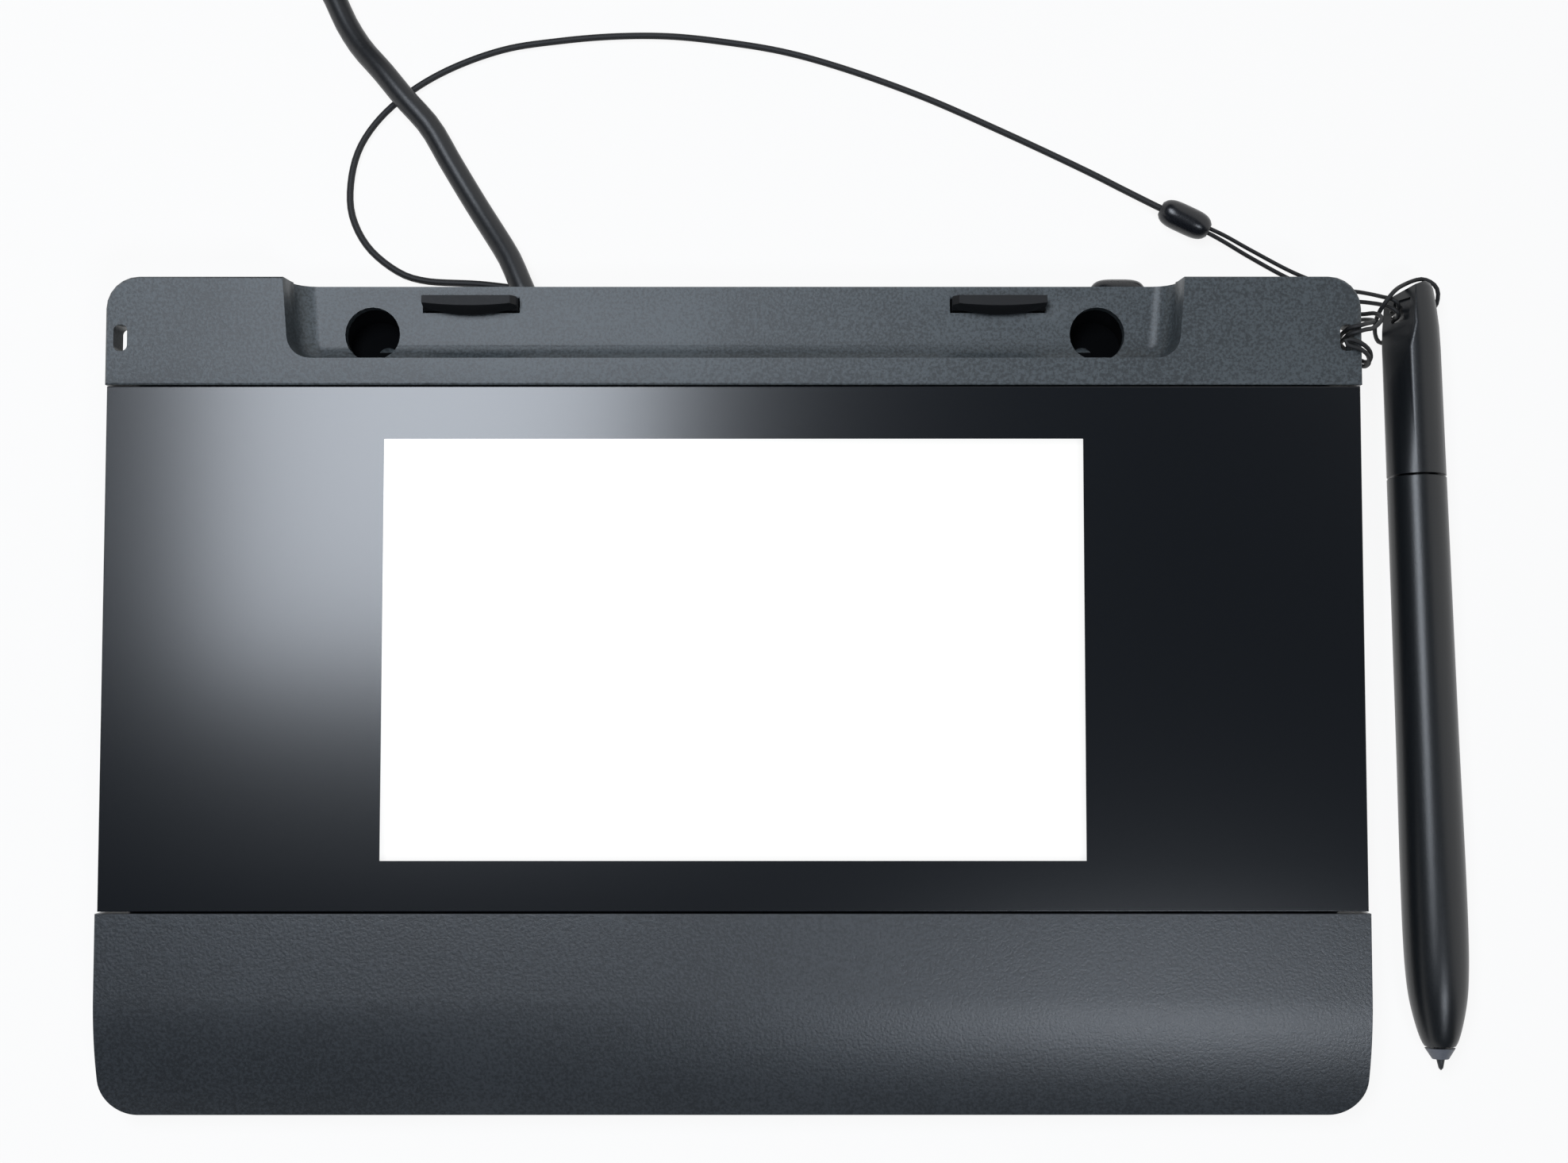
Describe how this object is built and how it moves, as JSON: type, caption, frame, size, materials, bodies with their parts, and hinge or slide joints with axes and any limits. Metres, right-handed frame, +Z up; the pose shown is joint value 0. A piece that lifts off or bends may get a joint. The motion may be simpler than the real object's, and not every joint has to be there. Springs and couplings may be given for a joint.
{
  "type": "signature pad",
  "caption": "Flat desk signature pad with a display under a clear panel, a pen tray with upright sockets, a pen on a braided tether and a coiled USB lead.",
  "frame": {"origin": "on the desk, under the middle of the box round the pad and its pen, cords left out", "axes": "+Z up from the desk, +Y from the palm rest towards the pen tray, +X to the user's right"},
  "size_m": [0.2126, 0.2491, 0.0183],
  "materials": {
    "rear_housing_plastic": "fine matte texture",
    "front_housing_plastic": "fine matte texture",
    "panel_acrylic": "satin anti-glare",
    "socket_plastic": "matte",
    "black_rubber": "matte",
    "black_foam_tape": "matte foam",
    "display_glass": "satin film on glass",
    "white_plastic": "matte",
    "circuit_board": "satin solder mask",
    "steel": "brushed",
    "chip_resin": "matte",
    "flex_film": "satin film",
    "cable_vinyl": "satin",
    "braided_cord": "fine braid",
    "pen_plastic": "satin",
    "nose_ring_plastic": "satin",
    "nib_plastic": "matte",
    "copper_winding": "enamelled wire"
  },
  "bodies": {
    "pad": {"rear_cover": "rear_housing_plastic", "palm_rest": "front_housing_plastic", "mid_frame": "front_housing_plastic", "base_cover": "front_housing_plastic", "display_panel": "panel_acrylic", "left_pen_socket": "socket_plastic", "right_pen_socket": "socket_plastic", "left_front_foot": "black_rubber", "left_rear_foot": "black_rubber", "right_front_foot": "black_rubber", "right_rear_foot": "black_rubber", "strain_relief": "black_rubber", "tether_bead_pad": "black_rubber", "tether_bead_pen": "black_rubber", "panel_gasket": "black_foam_tape", "lcd_module": "display_glass", "backlight": "white_plastic", "usb_header": "white_plastic", "usb_plug_tongue": "white_plastic", "digitizer_board": "circuit_board", "main_board": "circuit_board", "shield_plate": "steel", "left_front_screw": "steel", "right_front_screw": "steel", "left_middle_screw": "steel", "right_middle_screw": "steel", "left_rear_screw": "steel", "right_rear_screw": "steel", "board_screw_1": "steel", "board_screw_2": "steel", "board_screw_3": "steel", "board_screw_4": "steel", "usb_plug_shell": "steel", "controller_chip": "chip_resin", "memory_chip": "chip_resin", "power_chip": "chip_resin", "display_flex": "flex_film", "sensor_flex": "flex_film", "usb_inner_lead": "cable_vinyl", "usb_cable": "cable_vinyl", "usb_cable_coil": "cable_vinyl", "usb_cable_tail": "cable_vinyl", "usb_plug_body": "cable_vinyl", "tether_cord": "braided_cord", "tether_loop_pad": "braided_cord"},
    "pen": {"pen_front_barrel": "pen_plastic", "pen_rear_barrel": "pen_plastic", "pen_nose_ring": "nose_ring_plastic", "pen_coil": "copper_winding", "pen_force_sensor": "white_plastic", "pen_board": "circuit_board", "tether_loop_pen": "braided_cord"},
    "nib": {"pen_nib": "nib_plastic"},
    "left_grip": {"left_grip_pad": "black_rubber"},
    "right_grip": {"right_grip_pad": "black_rubber"}
  },
  "joints": [
    {"name": "pen_lift", "type": "slide", "parent": "pad", "child": "pen", "axis": [0, 0, 1], "range_m": [0, 0.04]},
    {"name": "nib_press", "type": "slide", "parent": "pen", "child": "nib", "axis": [-0.0031, 1, 0.0087], "range_m": [0, 0.0005], "stiffness_N_per_m": 400},
    {"name": "left_grip_flex", "type": "hinge", "parent": "pad", "child": "left_grip", "pos_m": [-0.05, 0.06077, 0.00911], "axis": [-1, 0, 0], "range_deg": [0, 6], "stiffness_Nm_per_rad": 0.05},
    {"name": "right_grip_flex", "type": "hinge", "parent": "pad", "child": "right_grip", "pos_m": [0.0336, 0.06077, 0.00911], "axis": [-1, 0, 0], "range_deg": [0, 6], "stiffness_Nm_per_rad": 0.05}
  ]
}
